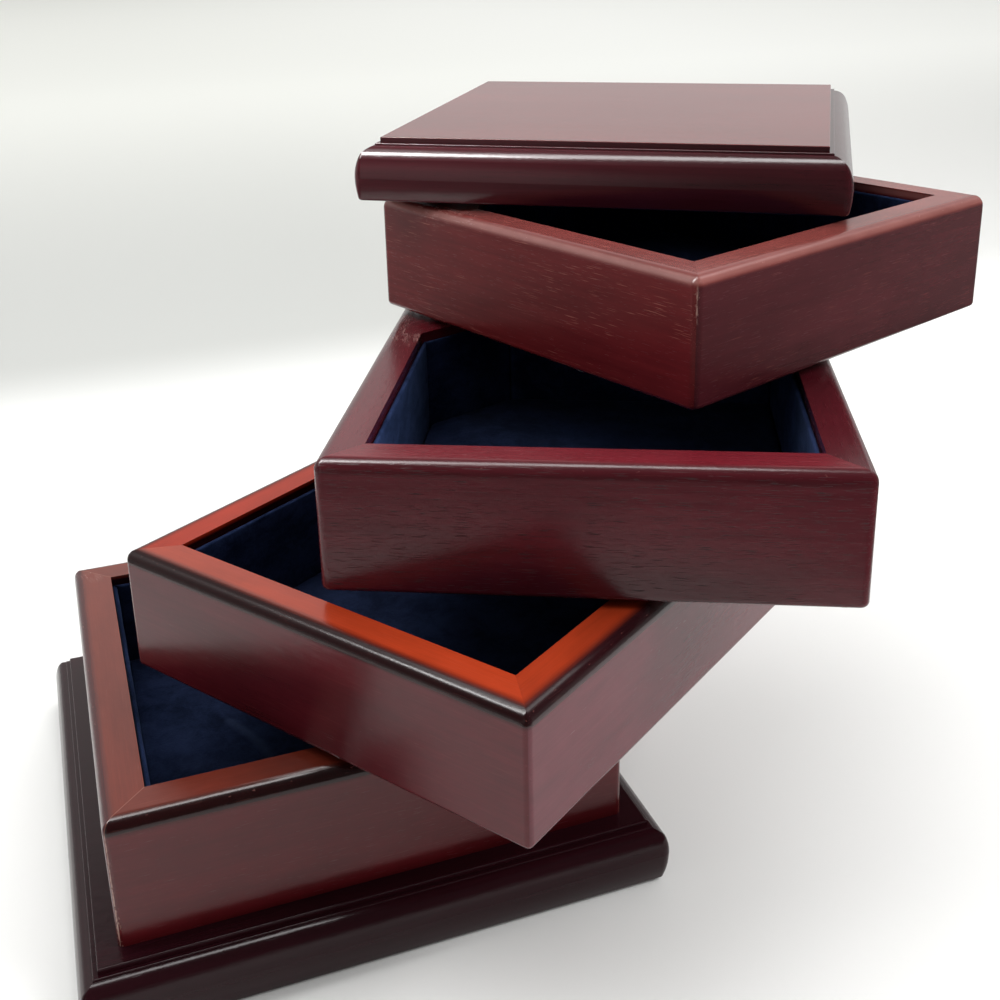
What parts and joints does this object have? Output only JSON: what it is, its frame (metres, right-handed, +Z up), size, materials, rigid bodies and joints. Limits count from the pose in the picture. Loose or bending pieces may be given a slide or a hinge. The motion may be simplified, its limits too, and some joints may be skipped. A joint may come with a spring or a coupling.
{
  "type": "tiered jewelry box",
  "caption": "Square wooden jewelry box of stacked velvet lined trays and a moulded lid that swing out on one corner rod above a moulded plinth.",
  "frame": {"origin": "middle of the felt under the plinth, where the box rests on a table", "axes": "+Z up, +X along the plinth's front edge to the right, +Y to the back; the rod stands at the back right corner"},
  "size_m": [0.3551, 0.3257, 0.2138],
  "materials": {
    "tray_wood": "semi-gloss red-brown lacquer over fine open grain",
    "moulding_wood": "glossy dark red-brown lacquer",
    "panel_wood": "thin stained panel",
    "velvet": "navy velvet with a soft sheen",
    "felt": "dark felt",
    "steel": "plain turned steel",
    "brass": "plain brass",
    "clear_bumper": "clear soft polyurethane"
  },
  "bodies": {
    "base": {"plinth": "moulding_wood", "base_felt": "felt", "rod_washer": "steel", "tray_1_front_rail": "tray_wood", "tray_1_right_rail": "tray_wood", "tray_1_back_rail": "tray_wood", "tray_1_left_rail": "tray_wood", "tray_1_floor_panel": "panel_wood", "tray_1_pivot_block": "tray_wood", "tray_1_wall_lining": "velvet", "tray_1_floor_pad": "velvet", "spacer_washer_1": "steel"},
    "tray_2": {"tray_2_front_rail": "tray_wood", "tray_2_right_rail": "tray_wood", "tray_2_back_rail": "tray_wood", "tray_2_left_rail": "tray_wood", "tray_2_floor_panel": "panel_wood", "tray_2_pivot_block": "tray_wood", "tray_2_wall_lining": "velvet", "tray_2_floor_pad": "velvet", "spacer_washer_2": "steel", "tray_2_bumpers": "clear_bumper"},
    "tray_3": {"tray_3_front_rail": "tray_wood", "tray_3_right_rail": "tray_wood", "tray_3_back_rail": "tray_wood", "tray_3_left_rail": "tray_wood", "tray_3_floor_panel": "panel_wood", "tray_3_pivot_block": "tray_wood", "tray_3_wall_lining": "velvet", "tray_3_floor_pad": "velvet", "spacer_washer_3": "steel", "tray_3_bumpers": "clear_bumper"},
    "tray_4": {"tray_4_front_rail": "tray_wood", "tray_4_right_rail": "tray_wood", "tray_4_back_rail": "tray_wood", "tray_4_left_rail": "tray_wood", "tray_4_floor_panel": "panel_wood", "tray_4_pivot_block": "tray_wood", "tray_4_wall_lining": "velvet", "tray_4_floor_pad": "velvet", "spacer_washer_4": "steel", "tray_4_bumpers": "clear_bumper"},
    "lid": {"lid": "moulding_wood", "lid_bumpers": "clear_bumper", "lid_insert": "brass", "pivot_rod": "steel", "rod_nut": "steel"}
  },
  "joints": [
    {"name": "tray_2_swing", "type": "hinge", "parent": "base", "child": "tray_2", "pos_m": [0.0632, 0.0632, 0], "axis": [0, 0, 1], "range_deg": [-33.8, 146.2]},
    {"name": "tray_3_swing", "type": "hinge", "parent": "base", "child": "tray_3", "pos_m": [0.0632, 0.0632, 0], "axis": [0, 0, 1], "range_deg": [-64, 116]},
    {"name": "tray_4_swing", "type": "hinge", "parent": "base", "child": "tray_4", "pos_m": [0.0632, 0.0632, 0], "axis": [0, 0, 1], "range_deg": [-110.4, 69.6]},
    {"name": "lid_swing", "type": "hinge", "parent": "base", "child": "lid", "pos_m": [0.0632, 0.0632, 0], "axis": [0, 0, 1], "range_deg": [-146.1, 33.9]}
  ]
}
